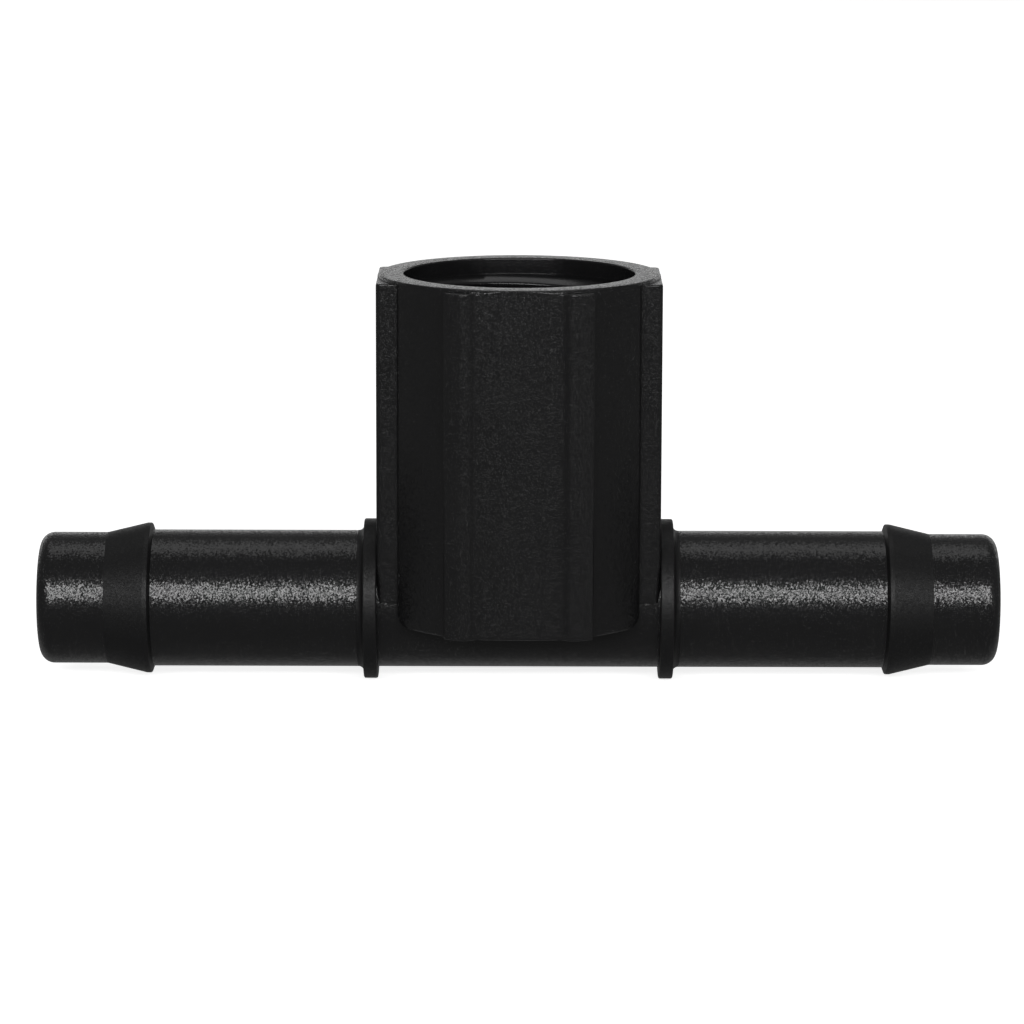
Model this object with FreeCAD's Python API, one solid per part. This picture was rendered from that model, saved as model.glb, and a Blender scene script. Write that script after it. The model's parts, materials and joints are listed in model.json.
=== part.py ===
import FreeCAD, Part
import math
import os

# Barbed tee connector: a straight run with a hose tail at each end and an upright
# riser that carries a female pipe-thread socket. All sizes are in millimetres.
# Origin: where the run axis (X) crosses the riser axis (Z).

# Run, as radii about X and distances from the riser axis
waterway_radius = 4.7
tube_radius = 6.4
nose_radius = 6.15
barb_radius = 7.05
collar_radius = 7.5
collar_inner_x = 13.15
collar_outer_x = 14.45
collar_fillet = 0.55
barb_back_x = 34.15
barb_slope = 0.25
barb_land = 0.4
barb_front_x = 38.5
run_half_length = 44.8
nose_rounding = 1.3
mouth_chamfer = 0.25

# Riser body: eight slightly bowed panels
riser_bottom_z = -1.3
riser_top_z = 30.85
panel_apothem = 13.0
panel_bow_radius = 30.0
panel_count = 8
panel_corner_rounding = 1.2
rim_radius = 12.85
rim_rounding = 0.3

# Grip ribs and side pads
rib_radius = 14.25
rib_inner_x = 4.3
rib_outer_x = 6.8
rib_rounding = 0.75
pad_face_x = 13.15
pad_seat_x = 11.2
pad_bottom_z = 0.8

# Socket, G 1/2 female thread
counterbore_radius = 10.75
counterbore_depth = 1.5
thread_major_radius = 10.4775
thread_minor_radius = 9.3155
thread_pitch = 1.814
thread_crest_width = 0.302
thread_length = 15.0
thread_turns = 9
back_crest_z = 28.5
runout_length = 0.6
socket_floor_z = 11.0
socket_floor_thickness = 2.0
port_radius = 4.7

# Levels worked out from the sizes above
thread_top_z = riser_top_z - counterbore_depth
thread_bottom_z = thread_top_z - thread_length
pilot_top_z = thread_bottom_z - runout_length
floor_bottom_z = socket_floor_z - socket_floor_thickness

X_DIR = FreeCAD.Vector(1, 0, 0)
Z_DIR = FreeCAD.Vector(0, 0, 1)
ORIGIN = FreeCAD.Vector(0, 0, 0)


def rod_x(radius, start, end):
    """Solid rod along X."""
    return Part.makeCylinder(radius, end - start, FreeCAD.Vector(start, 0, 0), X_DIR)


def rod_z(radius, bottom, top):
    """Solid rod along Z."""
    return Part.makeCylinder(radius, top - bottom, FreeCAD.Vector(0, 0, bottom), Z_DIR)


def box(low, high):
    """Box between two opposite corners."""
    size = [high[i] - low[i] for i in range(3)]
    return Part.makeBox(size[0], size[1], size[2], FreeCAD.Vector(*low))


def slab(bottom, top):
    """Wide box used to keep one storey of the riser."""
    return box((-30, -30, bottom), (30, 30, top))


def revolve_x(edges):
    """Turn a closed profile, drawn as (x, radius) edges, about the run axis."""
    face = Part.Face(Part.Wire(edges))
    return face.revolve(ORIGIN, X_DIR, 360)


def profile_edges(points):
    """Straight edges through (x, radius) points, closed back to the first."""
    corners = [FreeCAD.Vector(x, 0, r) for x, r in points]
    corners.append(corners[0])
    return [Part.makeLine(a, b) for a, b in zip(corners, corners[1:])]


def mirrored(shape):
    """The same shape on the other arm of the run."""
    return shape.mirror(ORIGIN, X_DIR)


def panel_prism():
    """Riser body without ribs: bowed panels as an overlap of large rods, flat where the pads sit.

    The flat sides end in rounded lower corners.
    """
    block = box((-pad_seat_x, -20, riser_bottom_z), (pad_seat_x, 20, riser_top_z))
    edges = []
    for edge in block.Edges:
        span = edge.BoundBox
        if span.YLength > 30 and span.ZMax < riser_bottom_z + 0.01:
            edges.append(edge)
    prism = block.makeFillet(panel_corner_rounding, edges)
    offset = panel_bow_radius - panel_apothem
    for i in range(panel_count):
        angle = 2 * math.pi * i / panel_count
        centre = FreeCAD.Vector(-offset * math.cos(angle), -offset * math.sin(angle), riser_bottom_z)
        rod = Part.makeCylinder(panel_bow_radius, riser_top_z - riser_bottom_z, centre, Z_DIR)
        prism = prism.common(rod)
    return prism


def rib_blank():
    """Front right grip rib as a full block, rounded on the edge next to the front panel."""
    block = box((rib_inner_x, -rib_radius, riser_bottom_z), (rib_outer_x, -9.0, riser_top_z))
    rib = block.common(rod_z(rib_radius, riser_bottom_z, riser_top_z))
    edges = []
    for edge in rib.Edges:
        span = edge.BoundBox
        upright = span.ZLength > 20
        at_front = span.YMax < -11
        if upright and at_front and abs(span.XMin - rib_inner_x) < 0.01:
            edges.append(edge)
    return rib.makeFillet(rib_rounding, edges)


def pad_blank():
    """Right side pad as a full block, as wide as the run tube, whose sides run down into it."""
    return box((9.0, -tube_radius, pad_bottom_z), (pad_face_x, tube_radius, riser_top_z))


def rim_limit():
    """Turned outline that the riser's top stays inside: a round rim above a wide ledge."""
    ledge_z = riser_top_z - rim_rounding
    wide = 20.0
    swing = rim_rounding * math.sqrt(0.5)
    arc = Part.Arc(
        FreeCAD.Vector(rim_radius, 0, riser_top_z),
        FreeCAD.Vector(rim_radius + swing, 0, ledge_z + swing),
        FreeCAD.Vector(rim_radius + rim_rounding, 0, ledge_z),
    )
    low_z = riser_bottom_z - 1
    corners = [
        FreeCAD.Vector(rim_radius + rim_rounding, 0, ledge_z),
        FreeCAD.Vector(wide, 0, ledge_z),
        FreeCAD.Vector(wide, 0, low_z),
        FreeCAD.Vector(0, 0, low_z),
        FreeCAD.Vector(0, 0, riser_top_z),
        FreeCAD.Vector(rim_radius, 0, riser_top_z),
    ]
    edges = [arc.toShape()]
    edges += [Part.makeLine(a, b) for a, b in zip(corners, corners[1:])]
    return Part.Face(Part.Wire(edges)).revolve(ORIGIN, Z_DIR, 360)


def riser_envelope(prism):
    """Whole outside of the riser, with ribs, pads and the round rim."""
    rib = rib_blank()
    pad = pad_blank()
    y_dir = FreeCAD.Vector(0, 1, 0)
    tools = [rib, mirrored(rib), rib.mirror(ORIGIN, y_dir), mirrored(rib.mirror(ORIGIN, y_dir))]
    tools += [pad, mirrored(pad)]
    return prism.fuse(tools).common(rim_limit())


def solid_in(shape, region):
    """The single solid of a shape inside a region."""
    found = shape.common(region).Solids
    return max(found, key=lambda s: s.Volume)


def socket_thread():
    """Helical ridge of the pipe-thread form, trimmed to true crest and root cylinders."""
    slope = math.tan(math.radians(27.5))
    reach = 0.1
    low_r = thread_minor_radius - reach
    high_r = thread_major_radius + reach
    low_half = thread_crest_width / 2 - reach * slope
    high_half = low_half + (high_r - low_r) * slope
    start_z = back_crest_z - (thread_turns + 0.25) * thread_pitch
    corners = [
        FreeCAD.Vector(low_r, 0, start_z - low_half),
        FreeCAD.Vector(high_r, 0, start_z - high_half),
        FreeCAD.Vector(high_r, 0, start_z + high_half),
        FreeCAD.Vector(low_r, 0, start_z + low_half),
    ]
    corners.append(corners[0])
    turns_length = (thread_turns + 2) * thread_pitch
    helix = Part.makeLongHelix(thread_pitch, turns_length, thread_minor_radius)
    helix.translate(FreeCAD.Vector(0, 0, start_z))
    ridge = Part.Wire(helix.Edges).makePipeShell([Part.makePolygon(corners)], True, True)
    ring = rod_z(thread_major_radius, thread_bottom_z, thread_top_z)
    ring = ring.cut(rod_z(thread_minor_radius, thread_bottom_z - 1, thread_top_z + 1))
    return max(ring.common(ridge).Solids, key=lambda s: s.Volume)


def runout_cone():
    """Taper from the thread's root down to the plain pilot bore under it."""
    base = FreeCAD.Vector(0, 0, pilot_top_z)
    return Part.makeCone(thread_minor_radius, thread_major_radius, runout_length, base, Z_DIR)


def stop_collar():
    """Right stop collar, with its concave fillet onto the tube."""
    r_tube = tube_radius
    fillet_x = collar_outer_x + collar_fillet
    fillet_r = r_tube + collar_fillet
    corner = FreeCAD.Vector(fillet_x, 0, fillet_r)
    swing = collar_fillet * math.sqrt(0.5)
    middle = FreeCAD.Vector(corner.x - swing, 0, corner.z - swing)
    edges = [
        Part.makeLine(FreeCAD.Vector(collar_inner_x, 0, r_tube), FreeCAD.Vector(fillet_x, 0, r_tube)),
        Part.Arc(
            FreeCAD.Vector(fillet_x, 0, r_tube),
            middle,
            FreeCAD.Vector(collar_outer_x, 0, fillet_r),
        ).toShape(),
        Part.makeLine(
            FreeCAD.Vector(collar_outer_x, 0, fillet_r),
            FreeCAD.Vector(collar_outer_x, 0, collar_radius),
        ),
        Part.makeLine(
            FreeCAD.Vector(collar_outer_x, 0, collar_radius),
            FreeCAD.Vector(collar_inner_x, 0, collar_radius),
        ),
        Part.makeLine(
            FreeCAD.Vector(collar_inner_x, 0, collar_radius),
            FreeCAD.Vector(collar_inner_x, 0, r_tube),
        ),
    ]
    return revolve_x(edges)


def hose_tail():
    """Right plain tube that the hose grips."""
    return rod_x(tube_radius, collar_inner_x, barb_back_x).cut(
        rod_x(waterway_radius, collar_inner_x - 1, barb_back_x + 1)
    )


def hose_barb():
    """Right barb: short back slope, narrow land, long lead-in cone."""
    points = [
        (barb_back_x, waterway_radius),
        (barb_back_x, tube_radius),
        (barb_back_x + barb_slope, barb_radius),
        (barb_back_x + barb_slope + barb_land, barb_radius),
        (barb_front_x, nose_radius),
        (barb_front_x, waterway_radius),
    ]
    return revolve_x(profile_edges(points))


def hose_nose():
    """Right nose: the plain tip that starts the hose, rounded at its end."""
    tip = run_half_length
    round_x = tip - nose_rounding
    round_r = nose_radius - nose_rounding + mouth_chamfer
    reach = nose_radius - round_r
    swing = math.sqrt(0.5)
    middle = FreeCAD.Vector(round_x + nose_rounding * swing, 0, round_r + reach * swing)
    mouth_r = waterway_radius + mouth_chamfer
    edges = [
        Part.makeLine(
            FreeCAD.Vector(barb_front_x, 0, waterway_radius),
            FreeCAD.Vector(barb_front_x, 0, nose_radius),
        ),
        Part.makeLine(
            FreeCAD.Vector(barb_front_x, 0, nose_radius),
            FreeCAD.Vector(round_x, 0, nose_radius),
        ),
        Part.Arc(
            FreeCAD.Vector(round_x, 0, nose_radius),
            middle,
            FreeCAD.Vector(tip, 0, round_r),
        ).toShape(),
        Part.makeLine(FreeCAD.Vector(tip, 0, round_r), FreeCAD.Vector(tip, 0, mouth_r)),
        Part.makeLine(
            FreeCAD.Vector(tip, 0, mouth_r),
            FreeCAD.Vector(tip - mouth_chamfer, 0, waterway_radius),
        ),
        Part.makeLine(
            FreeCAD.Vector(tip - mouth_chamfer, 0, waterway_radius),
            FreeCAD.Vector(barb_front_x, 0, waterway_radius),
        ),
    ]
    return revolve_x(edges)


def run_centre():
    """Middle of the run, between the collars, with the port up to the socket."""
    tube = rod_x(tube_radius, -collar_inner_x, collar_inner_x)
    tube = tube.cut(rod_x(waterway_radius, -20, 20))
    return tube.cut(rod_z(port_radius, 0, 20))


def riser_parts():
    """Every riser piece by name."""
    prism = panel_prism()
    outside = riser_envelope(prism)
    core = outside.common(prism)
    run_rod = rod_x(tube_radius, -20, 20)
    port = rod_z(port_radius, 0, 20)
    base = solid_in(core, slab(riser_bottom_z, floor_bottom_z)).cut(run_rod).cut(port)
    floor = solid_in(core, slab(floor_bottom_z, socket_floor_z)).cut(port)
    wall = solid_in(core, slab(socket_floor_z, thread_top_z))
    wall = wall.cut(rod_z(thread_minor_radius, socket_floor_z - 1, pilot_top_z))
    wall = wall.cut(runout_cone())
    wall = wall.cut(rod_z(thread_major_radius, thread_bottom_z, thread_top_z + 1))
    rim = solid_in(core, slab(thread_top_z, riser_top_z))
    rim = rim.cut(rod_z(counterbore_radius, thread_top_z - 1, riser_top_z + 1))
    parts = {
        "riser_base": base,
        "socket_floor": floor,
        "socket_wall": wall,
        "socket_rim": rim,
        "socket_thread": socket_thread(),
    }
    raised = outside.cut(prism).cut(run_rod)
    corners = {
        "grip_rib_front_left": (-1, -1),
        "grip_rib_front_right": (1, -1),
        "grip_rib_back_left": (-1, 1),
        "grip_rib_back_right": (1, 1),
    }
    for name, (side, depth) in corners.items():
        low_x = min(side * 3, side * 8)
        low_y = min(depth * 10, depth * 16)
        region = box((low_x, low_y, -10), (low_x + 5, low_y + 6, 40))
        parts[name] = solid_in(raised, region)
    parts["side_pad_left"] = solid_in(raised, box((-20, -9, -10), (-9, 9, 40)))
    parts["side_pad_right"] = solid_in(raised, box((9, -9, -10), (20, 9, 40)))
    return parts


def run_parts():
    """Every run piece by name, each arm mirrored from the right one."""
    parts = {"run_centre_tube": run_centre()}
    right = {
        "stop_collar": stop_collar(),
        "hose_tail": hose_tail(),
        "hose_barb": hose_barb(),
        "hose_nose": hose_nose(),
    }
    for name, shape in right.items():
        parts[name + "_right"] = shape
        parts[name + "_left"] = mirrored(shape)
    return parts


def main():
    os.makedirs("parts", exist_ok=True)
    parts = riser_parts()
    parts.update(run_parts())
    for name, shape in sorted(parts.items()):
        solid = shape.Solids[0]
        solid.exportStep(os.path.join("parts", name + ".step"))
        print(name, len(shape.Solids), shape.isValid(), round(solid.Volume, 2))


main()
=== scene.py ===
import bmesh
import bpy
import json
import math
from mathutils import Matrix, Quaternion, Vector


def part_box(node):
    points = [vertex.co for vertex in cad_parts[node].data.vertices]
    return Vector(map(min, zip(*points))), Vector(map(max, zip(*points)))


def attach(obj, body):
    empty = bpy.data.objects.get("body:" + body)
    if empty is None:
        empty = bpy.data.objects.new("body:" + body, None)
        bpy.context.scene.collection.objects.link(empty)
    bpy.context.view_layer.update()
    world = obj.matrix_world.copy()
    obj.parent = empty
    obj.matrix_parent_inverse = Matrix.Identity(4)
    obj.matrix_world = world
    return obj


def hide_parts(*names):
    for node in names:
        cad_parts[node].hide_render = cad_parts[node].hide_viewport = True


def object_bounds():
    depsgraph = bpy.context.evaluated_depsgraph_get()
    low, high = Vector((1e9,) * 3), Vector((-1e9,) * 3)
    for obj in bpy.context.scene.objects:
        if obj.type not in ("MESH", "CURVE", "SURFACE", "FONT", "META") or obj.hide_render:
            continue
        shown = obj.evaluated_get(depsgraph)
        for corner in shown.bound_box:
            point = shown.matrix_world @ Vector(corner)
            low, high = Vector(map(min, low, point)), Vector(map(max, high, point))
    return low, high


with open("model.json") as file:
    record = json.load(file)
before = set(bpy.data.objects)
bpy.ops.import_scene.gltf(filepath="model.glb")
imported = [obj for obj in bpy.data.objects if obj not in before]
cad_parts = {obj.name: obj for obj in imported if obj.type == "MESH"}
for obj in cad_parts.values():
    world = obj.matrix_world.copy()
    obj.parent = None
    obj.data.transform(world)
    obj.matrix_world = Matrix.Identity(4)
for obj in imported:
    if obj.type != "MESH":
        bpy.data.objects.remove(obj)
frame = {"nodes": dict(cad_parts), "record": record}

# Barbed tee connector, one black moulding. Lengths in this script are in metres, written as
# numbers times MM. +X runs along the hose tails, +Z up the riser, and the front faces -Y.
cad_low, cad_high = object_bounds()
MM = 0.001
TURN = 2 * math.pi

# Sizes read from the frame
tube_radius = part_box("hose_tail_right")[1].z
barb_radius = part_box("hose_barb_right")[1].z
nose_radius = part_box("hose_nose_right")[1].z
collar_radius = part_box("stop_collar_right")[1].z
collar_inner_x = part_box("stop_collar_right")[0].x
barb_back_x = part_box("hose_barb_right")[0].x
barb_front_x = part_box("hose_barb_right")[1].x
tip_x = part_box("hose_nose_right")[1].x
riser_bottom_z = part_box("riser_base")[0].z
floor_bottom_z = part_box("socket_floor")[0].z
socket_floor_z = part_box("socket_wall")[0].z
thread_top_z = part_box("socket_rim")[0].z
riser_top_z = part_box("socket_rim")[1].z
thread_bottom_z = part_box("socket_thread")[0].z
rib_top_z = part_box("grip_rib_front_right")[1].z
rib_side_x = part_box("grip_rib_front_right")[1].x
rib_inner_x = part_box("grip_rib_front_right")[0].x
pad_seat_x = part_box("side_pad_right")[0].x
pad_face_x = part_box("side_pad_right")[1].x
pad_bottom_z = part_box("side_pad_right")[0].z
mounts = {m["name"]: m for m in frame["record"]["mounts"]}
waterway_radius = mounts["waterway"]["dims"]["r_mm"] * MM
thread_minor_radius = mounts["riser_socket"]["dims"]["r_mm"] * MM

# Run: sizes that the frame's boxes don't give
collar_outer_x = 14.45 * MM
collar_fillet = 0.55 * MM
collar_edge_rounding = 0.16 * MM
collar_depth_in_tail = 0.05 * MM
barb_slope = 0.25 * MM
barb_land = 0.4 * MM
barb_front_rounding = 0.5 * MM
barb_back_rounding = 0.14 * MM
nose_rounding = 1.3 * MM
mouth_rounding = 0.25 * MM
sliver = 0.02 * MM

# Riser
panel_count = 8
panel_apothem = 13.0 * MM
panel_bow_radius = 30.0 * MM
panel_corner_rounding = 1.2 * MM
seat_blend = 0.3 * MM
seat_edge_angle = 0.568  # radians round from +X, near the edge of a pad's flat seat
seat_least_cosine = 0.3  # directions nearer to the front or back than this meet no seat
base_rounding = 0.2 * MM
port_radius = 4.7 * MM
port_chamfer = 0.2 * MM
rim_radius = 12.85 * MM
rim_rounding = 0.3 * MM
rim_ledge = 0.1 * MM
lip_rounding = 0.15 * MM
counterbore_radius = 10.75 * MM
rib_radius = 14.25 * MM
pad_edge_rounding = 0.5 * MM
hidden_depth = 0.06 * MM
tube_cutter_length = 60 * MM

# Thread
thread_major_radius = 10.4775 * MM
thread_pitch = 1.814 * MM
thread_flank_slope = math.tan(math.radians(27.5))
thread_crest_half = 0.151 * MM
thread_crest_widening = 1.35
thread_crest_rounding = 0.108 * MM
thread_root_overlap = 0.05 * MM
back_crest_z = 28.5 * MM
runout_length = 0.6 * MM

# Edges of the ribs and pads, and how finely arcs are divided
edge_rounding = 0.13 * MM
inset_share = 0.8
support = 0.02 * MM
arc_step = 0.12
run_segments = 240
smooth_limit = 35.0
weld_distance = 1e-8


# ---------------------------------------------------------------- outlines

def rounded(corners):
    """Closed outline through (u, v, radius) corners, each rounded by an arc of its radius.

    A point close beyond each end of an arc keeps the flats beside it evenly shaded.
    """
    points = []
    for i, (u, v, radius) in enumerate(corners):
        here = Vector((u, v))
        if radius == 0:
            points.append(here)
            continue
        back = (Vector(corners[i - 1][:2]) - here).normalized()
        ahead = (Vector(corners[(i + 1) % len(corners)][:2]) - here).normalized()
        half = back.angle(ahead) / 2
        reach = radius / math.tan(half)
        centre = here + (back + ahead).normalized() * (radius / math.sin(half))
        start = here + back * reach - centre
        sweep = math.pi - 2 * half
        if start.cross(back) > 0:
            sweep = -sweep
        steps = max(2, int(abs(sweep) / arc_step))
        points.append(here + back * (reach + support))
        for k in range(steps + 1):
            points.append(centre + Matrix.Rotation(sweep * k / steps, 2) @ start)
        points.append(here + ahead * (reach + support))
    return points


def quarter(steps):
    """Sine and cosine of the angles that divide a quarter circle."""
    pairs = []
    for k in range(steps + 1):
        a = TURN / 4 * k / steps
        pairs.append((math.sin(a), math.cos(a)))
    return pairs


def soft_min(a, b, width):
    """The smaller of two lengths, blended over a width so that their crossing is a rounded edge."""
    overlap = max(width - abs(a - b), 0.0)
    return min(a, b) - overlap * overlap / (4 * width)


def panel_radius(angle, seat_x=pad_seat_x):
    """Distance from the riser axis to its bowed panels in one direction, flat at the pads' seats."""
    share = TURN / panel_count
    off = (angle + share / 2) % share - share / 2
    centre = panel_apothem - panel_bow_radius
    bowed = centre * math.cos(off) + math.sqrt(panel_bow_radius**2 - (centre * math.sin(off)) ** 2)
    across = abs(math.cos(angle))
    if across < seat_least_cosine:
        return bowed
    return soft_min(bowed, seat_x / across, seat_blend)


def outer_radius(angle):
    """Distance to the panels or, where they stand further out, to the side pads."""
    across = abs(math.cos(angle))
    along = abs(math.sin(angle))
    if along * pad_face_x < across * tube_radius:
        return pad_face_x / across
    if along * pad_seat_x < across * tube_radius:
        return tube_radius / along
    return panel_radius(angle)


def panel_point(angle, inset=0.0):
    """Point of the panels' outline in one direction, or a little under their surface."""
    r = panel_radius(angle) - inset
    return Vector((r * math.cos(angle), r * math.sin(angle)))


def ring_angles():
    """Directions of a ring's points, closer together round the edges of the pads and their seats."""
    angles = [TURN * k / 720 for k in range(720)]
    pad_corners = (math.atan2(tube_radius, pad_face_x), math.atan2(tube_radius, pad_seat_x))
    for corner in (*pad_corners, seat_edge_angle):
        for k in range(-6, 7):
            near = corner + math.radians(0.15 * k + 0.03)
            angles += [near, math.pi - near, math.pi + near, TURN - near]
    return sorted(angles)


RING = ring_angles()


# ---------------------------------------------------------------- mesh makers

def shade(mesh, limit=smooth_limit):
    """Smooth shading, but for edges that bend by more than a number of degrees."""
    mesh.shade_smooth()
    mesh.set_sharp_from_angle(angle=math.radians(limit))


def finish_mesh(name, bm, limit=smooth_limit):
    """Turns a closed bmesh into an object in the scene, its faces turned outwards."""
    bmesh.ops.remove_doubles(bm, verts=bm.verts, dist=weld_distance)
    bmesh.ops.recalc_face_normals(bm, faces=bm.faces)
    if bm.calc_volume(signed=True) < 0:
        bmesh.ops.reverse_faces(bm, faces=bm.faces)
    mesh = bpy.data.meshes.new(name)
    bm.to_mesh(mesh)
    bm.free()
    shade(mesh, limit)
    obj = bpy.data.objects.new(name, mesh)
    bpy.context.scene.collection.objects.link(obj)
    return obj


def strip(bm, low, high):
    """Quads between two closed rows of as many points."""
    for i in range(len(low)):
        j = (i + 1) % len(low)
        bm.faces.new((low[i], low[j], high[j], high[i]))


def lofted(bm, rows):
    """Joins rows of points in turn, and leaves both ends open; returns the rows' vertices."""
    rows = [[bm.verts.new(p) for p in row] for row in rows]
    for low, high in zip(rows, rows[1:]):
        strip(bm, low, high)
    return rows


def ring_solid(name, rings):
    """Closed solid whose surface runs through each ring in turn and back to the first."""
    bm = bmesh.new()
    rows = lofted(bm, rings)
    strip(bm, rows[-1], rows[0])
    return finish_mesh(name, bm)


def turned(name, profile, side):
    """Ring solid: a closed (x, radius) profile turned about the run axis, on one arm."""
    rings = []
    for p in profile:
        ring = []
        for k in range(run_segments):
            a = TURN * k / run_segments
            ring.append((side * p.x, p.y * math.cos(a), p.y * math.sin(a)))
        rings.append(ring)
    return ring_solid(name, rings)


def declare(obj, node_name, material):
    """Puts a finished piece in the place of a CAD node and material."""
    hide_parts(node_name)
    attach(obj, "root")
    obj.data.materials.clear()
    obj.data.materials.append(material)


# ---------------------------------------------------------------- materials

class Nodes:
    """Short calls for one material's nodes."""

    def __init__(self, name):
        self.material = bpy.data.materials.new(name)
        self.material.use_nodes = True
        self.tree = self.material.node_tree
        self.bsdf = self.tree.nodes["Principled BSDF"]
        self.coords = self.tree.nodes.new("ShaderNodeTexCoord").outputs["Object"]

    def link(self, a, b):
        self.tree.links.new(a, b)

    def noise(self, scale, detail, roughness):
        node = self.tree.nodes.new("ShaderNodeTexNoise")
        node.inputs["Scale"].default_value = scale
        node.inputs["Detail"].default_value = detail
        node.inputs["Roughness"].default_value = roughness
        self.link(self.coords, node.inputs["Vector"])
        return node.outputs["Fac"]

    def cells(self, scale):
        node = self.tree.nodes.new("ShaderNodeTexVoronoi")
        node.inputs["Scale"].default_value = scale
        self.link(self.coords, node.inputs["Vector"])
        return node

    def vector(self, operation, a, b):
        node = self.tree.nodes.new("ShaderNodeVectorMath")
        node.operation = operation
        for socket, value in zip(node.inputs, (a, b)):
            if isinstance(value, tuple):
                socket.default_value = value
            else:
                self.link(value, socket)
        return node.outputs["Value" if operation == "DOT_PRODUCT" else "Vector"]

    def scaled(self, value, factor):
        node = self.tree.nodes.new("ShaderNodeMath")
        node.operation = "MULTIPLY"
        node.inputs[1].default_value = factor
        self.link(value, node.inputs[0])
        return node.outputs["Value"]

    def facets(self, scale, tilt):
        """Height of small cells, each a flat facet leaning in its own random direction."""
        cells = self.cells(scale)
        offset = self.vector("SUBTRACT", self.coords, cells.outputs["Position"])
        lean = self.vector("SUBTRACT", cells.outputs["Color"], (0.5, 0.5, 0.5))
        return self.scaled(self.vector("DOT_PRODUCT", offset, lean), tilt)

    def remap(self, value, from_low, from_high, to_low, to_high):
        node = self.tree.nodes.new("ShaderNodeMapRange")
        node.inputs["From Min"].default_value = from_low
        node.inputs["From Max"].default_value = from_high
        node.inputs["To Min"].default_value = to_low
        node.inputs["To Max"].default_value = to_high
        self.link(value, node.inputs["Value"])
        return node.outputs["Result"]

    def bump(self, height, distance, normal=None):
        node = self.tree.nodes.new("ShaderNodeBump")
        node.inputs["Distance"].default_value = distance
        node.inputs["Strength"].default_value = 1.0
        self.link(height, node.inputs["Height"])
        if normal is not None:
            self.link(normal, node.inputs["Normal"])
        return node.outputs["Normal"]

    def colour_between(self, fac, dark, light):
        node = self.tree.nodes.new("ShaderNodeMix")
        node.data_type = "RGBA"
        node.inputs[6].default_value = (*dark, 1.0)
        node.inputs[7].default_value = (*light, 1.0)
        self.link(fac, node.inputs[0])
        return node.outputs[2]


# Texture scales are in cells or waves per metre.
mottle_scale = 300.0
facet_scale = 8400.0
fine_scale = 9000.0
gloss_scale = 3000.0
fine_depth = 0.006 * MM
carbon_dark = (0.0048, 0.0048, 0.0051)
carbon_light = (0.0078, 0.0078, 0.0081)


def black_plastic(name, tilt, gloss_low, gloss_high, shine):
    """Carbon-black moulded plastic.

    tilt is how far the tiny facets of the spark-eroded surface lean, which makes them glint one by
    one. gloss_low and gloss_high bound its roughness, and shine is how strongly it mirrors at all.
    """
    n = Nodes(name)
    mottle = n.noise(mottle_scale, 3.0, 0.6)
    n.link(n.colour_between(mottle, carbon_dark, carbon_light), n.bsdf.inputs["Base Color"])
    facets = n.facets(facet_scale, tilt)
    fine = n.bump(n.noise(fine_scale, 2.0, 0.6), fine_depth)
    n.link(n.bump(facets, 1.0, fine), n.bsdf.inputs["Normal"])
    rough = n.remap(n.noise(gloss_scale, 2.0, 0.6), 0.3, 0.7, gloss_low, gloss_high)
    n.link(rough, n.bsdf.inputs["Roughness"])
    n.bsdf.inputs["IOR"].default_value = 1.49
    n.bsdf.inputs["Specular IOR Level"].default_value = shine
    return n.material


grained = black_plastic("grained_black_plastic", 0.23, 0.15, 0.27, 0.5)
smooth = black_plastic("smooth_black_plastic", 0.17, 0.42, 0.52, 0.3)
bore_finish = black_plastic("bore_black_plastic", 0.03, 0.16, 0.22, 0.45)


# ---------------------------------------------------------------- run

def collar_profile():
    """The collar and the fillet at its outer foot, sunk a little into the tail under it."""
    fillet_end_x = collar_outer_x + collar_fillet + sliver
    inner = tube_radius - collar_depth_in_tail
    return rounded([
        (collar_inner_x, inner, 0),
        (fillet_end_x, inner, 0),
        (fillet_end_x, tube_radius, 0),
        (collar_outer_x, tube_radius, collar_fillet),
        (collar_outer_x, collar_radius, collar_edge_rounding),
        (collar_inner_x, collar_radius, collar_edge_rounding),
    ])


def tail_profile():
    return rounded([
        (collar_inner_x, waterway_radius, 0),
        (barb_back_x, waterway_radius, 0),
        (barb_back_x, tube_radius, 0),
        (collar_inner_x, tube_radius, 0),
    ])


def barb_profile():
    """The barb, steep behind, then a short land and the long slope down to the nose."""
    land_x = barb_back_x + barb_slope
    return rounded([
        (barb_back_x, waterway_radius, 0),
        (barb_front_x, waterway_radius, 0),
        (barb_front_x, nose_radius, 0),
        (land_x + barb_land, barb_radius, barb_front_rounding),
        (land_x, barb_radius, barb_back_rounding),
        (barb_back_x + sliver, tube_radius, 0),
        (barb_back_x, tube_radius, 0),
    ])


def nose_profile():
    return rounded([
        (barb_front_x, waterway_radius, 0),
        (tip_x, waterway_radius, mouth_rounding),
        (tip_x, nose_radius, nose_rounding),
        (barb_front_x, nose_radius, 0),
    ])


RUN_PIECES = (
    ("stop_collar_ring_", "stop_collar_", collar_profile(), "body_plastic", smooth),
    ("hose_tail_tube_", "hose_tail_", tail_profile(), "body_plastic", grained),
    ("hose_barb_ridge_", "hose_barb_", barb_profile(), "barb_plastic", smooth),
    ("hose_nose_tip_", "hose_nose_", nose_profile(), "body_plastic", grained),
)
for side, word in ((1, "right"), (-1, "left")):
    for piece, node, profile, slot, material in RUN_PIECES:
        declare(turned(piece + word, profile, side), node + word, material)


# ---------------------------------------------------------------- riser

def ring_at(z, radius_of):
    """Ring of points at one height, at a radius that may depend on the angle."""
    ring = []
    for a in RING:
        r = radius_of(a)
        ring.append((r * math.cos(a), r * math.sin(a), z))
    return ring


def plain(radius):
    """The same radius in every direction."""
    return lambda angle: radius


def rim_line(limit):
    """The riser's outline, cut back to a circle where it reaches further out."""
    return lambda angle: min(outer_radius(angle), limit)


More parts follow.
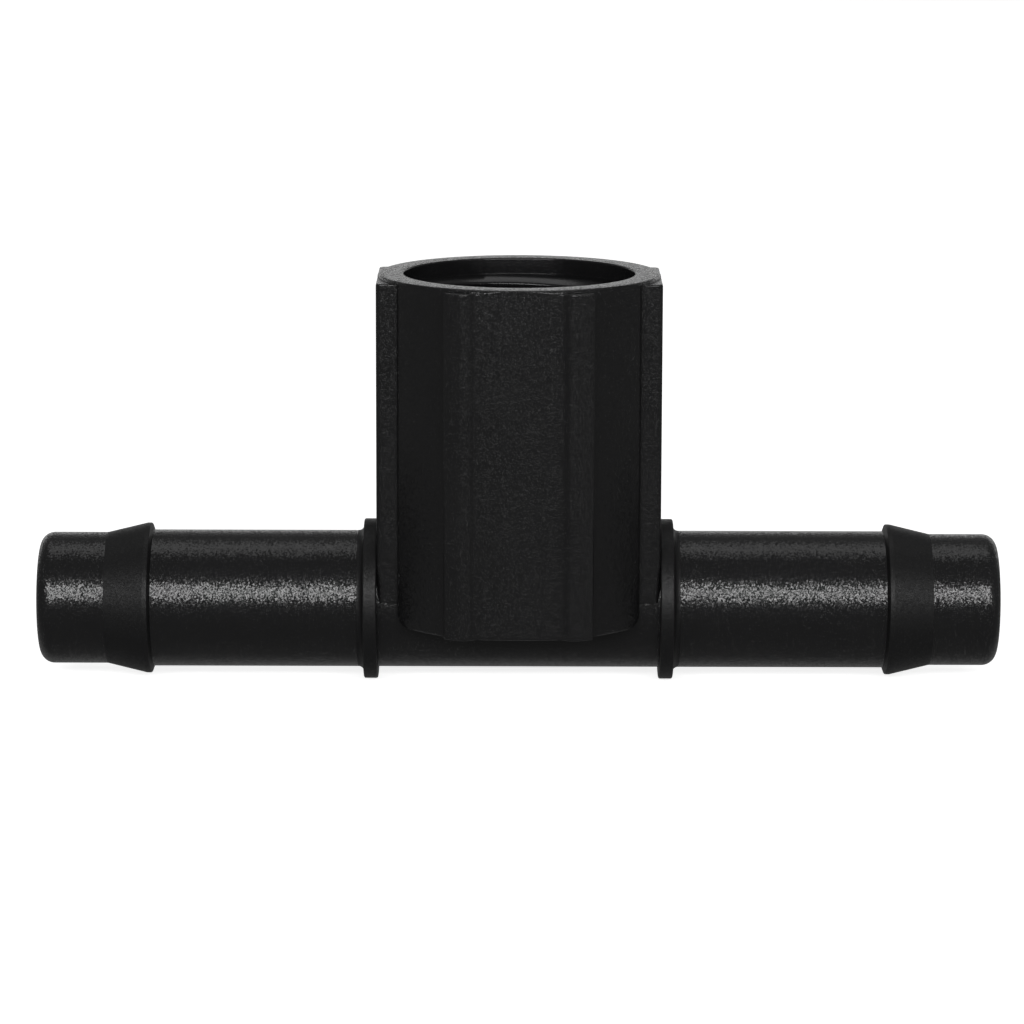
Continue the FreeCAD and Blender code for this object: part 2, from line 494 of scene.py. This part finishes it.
def seated(seat_x, inset):
    """The panels' outline with its flat seats at another distance, drawn in by an inset."""
    return lambda angle: panel_radius(angle, seat_x) - inset


def line_bore(obj, reach):
    """Gives the faces within a reach of the riser axis the plainer finish of the core pin."""
    obj.data.materials.append(bore_finish)
    for face in obj.data.polygons:
        if Vector(face.center[:2]).length < reach:
            face.material_index = 1


def socket_wall_mesh():
    """Eight-sided wall round the thread, with the run-out cone and the pilot bore under it."""
    return ring_solid("socket_wall_shell", [
        ring_at(socket_floor_z, panel_radius),
        ring_at(thread_top_z, panel_radius),
        ring_at(thread_top_z, plain(thread_major_radius)),
        ring_at(thread_bottom_z, plain(thread_major_radius)),
        ring_at(thread_bottom_z - runout_length, plain(thread_minor_radius)),
        ring_at(socket_floor_z, plain(thread_minor_radius)),
    ])


def socket_rim_mesh():
    """Rim with its rounded outer edge, the rounded lip of its mouth and the counterbore."""
    ledge_z = riser_top_z - rim_rounding
    full_rim = rim_line(rim_radius + rim_rounding)
    rings = [
        ring_at(thread_top_z, panel_radius),
        ring_at(ledge_z - rim_ledge, panel_radius),
        ring_at(ledge_z - rim_ledge, full_rim),
        ring_at(ledge_z - support, full_rim),
    ]
    for sine, cosine in quarter(8):
        rings.append(ring_at(ledge_z + rim_rounding * sine, rim_line(rim_radius + rim_rounding * cosine)))
    for sine, cosine in quarter(8):
        r = counterbore_radius + lip_rounding * (1 - sine)
        rings.append(ring_at(riser_top_z - lip_rounding * (1 - cosine), plain(r)))
    rings.append(ring_at(thread_top_z, plain(counterbore_radius)))
    return ring_solid("socket_rim_ring", rings)


def socket_floor_mesh():
    """Bottom of the socket, with the chamfered port through it."""
    return ring_solid("socket_floor_plate", [
        ring_at(floor_bottom_z, panel_radius),
        ring_at(socket_floor_z, panel_radius),
        ring_at(socket_floor_z, plain(port_radius + port_chamfer)),
        ring_at(socket_floor_z - port_chamfer, plain(port_radius)),
        ring_at(floor_bottom_z, plain(port_radius)),
    ])


def base_levels():
    """(rise, inset) levels of the riser's foot: rounded bottom edge, then up to its flat sides."""
    levels = []
    for sine, cosine in quarter(6):
        levels.append((base_rounding * (1 - cosine), base_rounding * (1 - sine)))
    steps = 8
    for k in range(1, steps + 1):
        levels.append((base_rounding + (panel_corner_rounding - base_rounding) * k / steps, 0.0))
    levels.append((panel_corner_rounding + support, 0.0))
    levels.append((floor_bottom_z - riser_bottom_z, 0.0))
    return levels


def riser_base_mesh():
    """Foot of the riser, its lower corners rounded towards the collars, with tube and port cut out."""
    rings = []
    for rise, inset in base_levels():
        drop = max(panel_corner_rounding - rise, 0.0)
        seat = pad_seat_x - panel_corner_rounding + math.sqrt(panel_corner_rounding**2 - drop**2)
        rings.append(ring_at(riser_bottom_z + rise, seated(seat, inset)))
    rings.append(ring_at(floor_bottom_z, plain(port_radius)))
    rings.append(ring_at(riser_bottom_z, plain(port_radius)))
    return cut_by_tube(ring_solid("riser_base_block", rings))


def tube_cutter():
    """Solid cylinder as wide as the run's tube and longer than the riser is wide."""
    bm = bmesh.new()
    bmesh.ops.create_cone(
        bm,
        cap_ends=True,
        segments=run_segments,
        radius1=tube_radius,
        radius2=tube_radius,
        depth=tube_cutter_length,
        matrix=Matrix.Rotation(TURN / 4, 4, "Y"),
    )
    return finish_mesh("tube_cutter", bm)


def cut_by_tube(obj):
    """Takes the run's tube out of a piece, so that the piece ends on the tube's surface."""
    cutter = tube_cutter()
    cut = obj.modifiers.new("tube", "BOOLEAN")
    cut.operation = "DIFFERENCE"
    cut.solver = "MANIFOLD"
    cut.object = cutter
    shown = obj.evaluated_get(bpy.context.evaluated_depsgraph_get())
    mesh = bpy.data.meshes.new_from_object(shown)
    obj.modifiers.clear()
    obj.data = mesh
    bpy.data.objects.remove(cutter)
    shade(mesh)
    return obj


def thread_profile():
    """(radius, height) section of the ridge: sloping flanks and a rounded crest."""
    foot_half = thread_crest_half + (thread_major_radius - thread_minor_radius) * thread_flank_slope
    foot_radius = thread_major_radius + thread_root_overlap
    crest_edge = thread_crest_widening * thread_crest_half
    profile = [(foot_radius, -foot_half)]
    for k in range(9):
        u = -1 + k / 4
        away = thread_crest_rounding * (1 - math.cos(u * TURN / 4))
        profile.append((thread_minor_radius + away, u * crest_edge))
    profile.append((foot_radius, foot_half))
    return profile


def cut_flat(bm, z, up):
    """Cuts a solid off level at a height, above it or (up is -1) below it, and closes the cut."""
    bmesh.ops.bisect_plane(
        bm,
        geom=bm.verts[:] + bm.edges[:] + bm.faces[:],
        plane_co=(0, 0, z),
        plane_no=(0, 0, up),
        clear_outer=True,
        dist=weld_distance / 10,
    )
    open_edges = [e for e in bm.edges if e.is_boundary]
    bmesh.ops.triangle_fill(bm, edges=open_edges, use_beauty=True)


def thread_mesh():
    """Right-hand helical ridge that crosses the back of the socket at back_crest_z."""
    profile = thread_profile()
    segments = 144
    turns = int((thread_top_z - thread_bottom_z) / thread_pitch) + 3
    turns_above = 2
    back_turn = 0.25
    rows = []
    for k in range(turns * segments + 1):
        a = TURN * k / segments
        z = back_crest_z + (k / segments - back_turn + turns_above - turns) * thread_pitch
        rows.append([(r * math.cos(a), r * math.sin(a), z + dz) for r, dz in profile])
    bm = bmesh.new()
    rows = lofted(bm, rows)
    bm.faces.new(rows[0])
    bm.faces.new(list(reversed(rows[-1])))
    cut_flat(bm, thread_top_z, 1)
    cut_flat(bm, thread_bottom_z, -1)
    return finish_mesh("socket_thread_helix", bm, 60.0)


declare(riser_base_mesh(), "riser_base", grained)
core_pin_reach = counterbore_radius + sliver
for bored, node in ((socket_wall_mesh(), "socket_wall"), (socket_rim_mesh(), "socket_rim")):
    declare(bored, node, grained)
    line_bore(bored, core_pin_reach)
declare(socket_floor_mesh(), "socket_floor", grained)
declare(thread_mesh(), "socket_thread", bore_finish)


# ---------------------------------------------------------------- ribs and pads

def outward_normals(outline):
    """Direction away from the riser's wall at each point of an open outline."""
    normals = []
    last = len(outline) - 1
    for i in range(len(outline)):
        along = outline[min(i + 1, last)] - outline[max(i - 1, 0)]
        normals.append(Vector((along.y, -along.x)).normalized())
    if normals[last // 2].dot(outline[last // 2]) < 0:
        normals = [-v for v in normals]
    return normals


def edge_levels(bottom_z, top_z):
    """(height, inset) levels of a bar whose bottom and top edges are rounded."""
    arc = [(edge_rounding * (1 - sine), edge_rounding * (1 - cosine)) for sine, cosine in quarter(4)]
    bottom = [(bottom_z + rise, inset) for rise, inset in reversed(arc)]
    flat = [(bottom_z + edge_rounding + support, 0.0), (top_z - edge_rounding - support, 0.0)]
    top = [(top_z - drop, inset) for drop, inset in arc]
    return bottom + flat + top


def block(name, outline, inner, bottom_z, top_z):
    """Closed bar standing on the riser wall: outline is its outer section, inner its hidden back."""
    normals = outward_normals(outline)
    rows = []
    for z, inset in edge_levels(bottom_z, top_z):
        row = []
        for p, q, normal in zip(outline, inner, normals):
            drawn = p - normal * min(inset, (p - q).length * inset_share)
            row.append((drawn.x, drawn.y, z))
        for q in reversed(inner):
            row.append((q.x, q.y, z))
        rows.append(row)
    bm = bmesh.new()
    rows = lofted(bm, rows)
    last = len(rows[0]) - 1
    for row in (rows[0], rows[-1]):
        for i in range(len(outline) - 1):
            bm.faces.new((row[i], row[i + 1], row[last - 1 - i], row[last - i]))
    return finish_mesh(name, bm, 50.0)


def rib_arc(start, end, steps):
    """Corners along the ribs' common outer cylinder between two angles."""
    corners = []
    for k in range(steps + 1):
        a = start + (end - start) * k / steps
        corners.append((rib_radius * math.cos(a), rib_radius * math.sin(a), 0))
    return corners


def rib_outline():
    """Front right rib from the front panel round to the diagonal panel, with filleted feet."""
    wall_x = rib_inner_x - 0.3 * MM
    foot_x = rib_inner_x - 0.7 * MM
    top_in_x = rib_inner_x + 0.55 * MM
    proud = 0.004 * MM
    outer_foot_angle = math.atan2(-11.4 * MM, rib_side_x)
    outer_foot_spread = math.radians(2.4)
    lead_in = math.radians(3.3)
    lead_out = math.radians(0.9)
    wall_in = panel_point(math.atan2(-panel_apothem, wall_x), -proud)
    foot_in = panel_point(math.atan2(-panel_apothem, foot_x), -proud)
    top_in_y = -math.sqrt(rib_radius**2 - top_in_x**2)
    top_out_y = -math.sqrt(rib_radius**2 - rib_side_x**2)
    wall_out = panel_point(outer_foot_angle)
    foot_out = panel_point(outer_foot_angle + outer_foot_spread)
    arc_start = math.atan2(top_in_y, top_in_x) + lead_in
    arc_end = math.atan2(top_out_y, rib_side_x) - lead_out
    return rounded([
        (foot_in.x, foot_in.y, 0),
        (wall_in.x, wall_in.y, 0.7 * MM),
        (top_in_x, top_in_y, 1.1 * MM),
        *rib_arc(arc_start, arc_end, 8),
        (rib_side_x, top_out_y, 0.15 * MM),
        (rib_side_x, wall_out.y, 0.2 * MM),
        (foot_out.x, foot_out.y, 0),
    ])


def pad_outline():
    """Right side pad, from its front side round to its back side."""
    return rounded([
        (pad_seat_x, -tube_radius, 0),
        (pad_face_x, -tube_radius, pad_edge_rounding),
        (pad_face_x, tube_radius, pad_edge_rounding),
        (pad_seat_x, tube_radius, 0),
    ])


def mirrored(points, sx, sy):
    return [Vector((p.x * sx, p.y * sy)) for p in points]


def rib_back(outline):
    """The rib's hidden back line, a little under the panels' surface."""
    return [panel_point(math.atan2(p.y, p.x), hidden_depth) for p in outline]


def pad_back(outline, side):
    """The pad's hidden back line, a little inside the panels' flat seat."""
    return [Vector((side * (pad_seat_x - hidden_depth), p.y)) for p in outline]


RIB_SIDES = (("front_left", -1, 1), ("front_right", 1, 1), ("back_left", -1, -1), ("back_right", 1, -1))
for word, sx, sy in RIB_SIDES:
    outline = mirrored(rib_outline(), sx, sy)
    bar = block("grip_rib_bar_" + word, outline, rib_back(outline), riser_bottom_z, rib_top_z)
    declare(bar, "grip_rib_" + word, grained)

for word, side in (("left", -1), ("right", 1)):
    outline = mirrored(pad_outline(), side, 1)
    plate = block("side_pad_plate_" + word, outline, pad_back(outline, side), pad_bottom_z, rib_top_z)
    declare(cut_by_tube(plate), "side_pad_" + word, grained)

for slot in frame["nodes"]["run_centre_tube"].material_slots:
    slot.material = grained


# ---------------------------------------------------------------- stage

def area_light(name, location, target, width, height, power):
    data = bpy.data.lights.new(name, "AREA")
    data.energy = power
    data.shape = "RECTANGLE"
    data.size = width
    data.size_y = height
    obj = bpy.data.objects.new(name, data)
    obj.location = location
    direction = Vector(target) - Vector(location)
    obj.rotation_mode = "QUATERNION"
    obj.rotation_quaternion = direction.to_track_quat("-Z", "Y")
    bpy.context.scene.collection.objects.link(obj)


def white_paper():
    material = bpy.data.materials.new("floor_white")
    material.use_nodes = True
    surface = material.node_tree.nodes["Principled BSDF"].inputs
    surface["Base Color"].default_value = (0.9, 0.9, 0.9, 1)
    surface["Roughness"].default_value = 0.9
    surface["Emission Color"].default_value = (1, 1, 1, 1)
    surface["Emission Strength"].default_value = 0.8
    return material


def add_floor(z, reach):
    """White floor under the tee, which neither lights it nor shows in its gloss."""
    corners = [(-reach, -reach, z), (reach, -reach, z), (reach, reach, z), (-reach, reach, z)]
    mesh = bpy.data.meshes.new("floor")
    mesh.from_pydata(corners, [], [(0, 1, 2, 3)])
    mesh.materials.append(white_paper())
    floor = bpy.data.objects.new("floor", mesh)
    bpy.context.scene.collection.objects.link(floor)
    floor.visible_glossy = False
    floor.visible_diffuse = False
    floor.visible_shadow = False


def add_world(light_strength, backdrop_strength):
    """Dim white surroundings that the camera sees as a bright backdrop."""
    world = bpy.data.worlds.new("world")
    bpy.context.scene.world = world
    world.use_nodes = True
    tree = world.node_tree
    sky = tree.nodes["Background"]
    sky.inputs["Color"].default_value = (1, 1, 1, 1)
    sky.inputs["Strength"].default_value = light_strength
    backdrop = tree.nodes.new("ShaderNodeBackground")
    backdrop.inputs["Color"].default_value = (1, 1, 1, 1)
    backdrop.inputs["Strength"].default_value = backdrop_strength
    path = tree.nodes.new("ShaderNodeLightPath")
    mix = tree.nodes.new("ShaderNodeMixShader")
    tree.links.new(path.outputs["Is Camera Ray"], mix.inputs["Fac"])
    tree.links.new(sky.outputs["Background"], mix.inputs[1])
    tree.links.new(backdrop.outputs["Background"], mix.inputs[2])
    tree.links.new(mix.outputs["Shader"], tree.nodes["World Output"].inputs["Surface"])


def add_camera(location, lens, tilt_down, roll):
    """Camera in front of the tee; tilt_down and roll are in degrees."""
    data = bpy.data.cameras.new("camera")
    data.sensor_width = 36.0
    data.lens = lens
    data.clip_start = 0.01
    data.clip_end = 20
    camera = bpy.data.objects.new("camera", data)
    bpy.context.scene.collection.objects.link(camera)
    camera.location = location
    tip = Quaternion((1, 0, 0), math.radians(90 - tilt_down))
    camera.rotation_mode = "QUATERNION"
    camera.rotation_quaternion = tip @ Quaternion((0, 0, 1), math.radians(roll))
    bpy.context.scene.camera = camera


# Each light's place, aim, width, height and power. The run mirrors the softboxes as bright bands.
area_light("front_softbox", (0.0, -0.67, 0.26), (0, 0, 0), 0.9, 0.13, 4.5)
area_light("overhead_softbox", (0.0, 0.2, 0.75), (0, 0, 0), 0.6, 0.32, 0.6)
area_light("back_panel", (0.0, 0.9, 0.13), (0, 0, 0.01), 1.6, 0.26, 0.85)
area_light("table_glow", (0.0, 0.4, -0.28), (0, 0, 0), 1.4, 0.6, 0.2)
area_light("right_fill", (0.6, -0.45, 0.15), (0, 0, 0.01), 0.3, 0.5, 0.12)
add_floor(cad_low.z, 3.0)
add_world(0.15, 1.05)
bpy.context.scene.view_settings.view_transform = "Standard"
add_camera(Vector((-0.62, -411.4, 84.5)) * MM, 157.07, 10.5, 0.15)
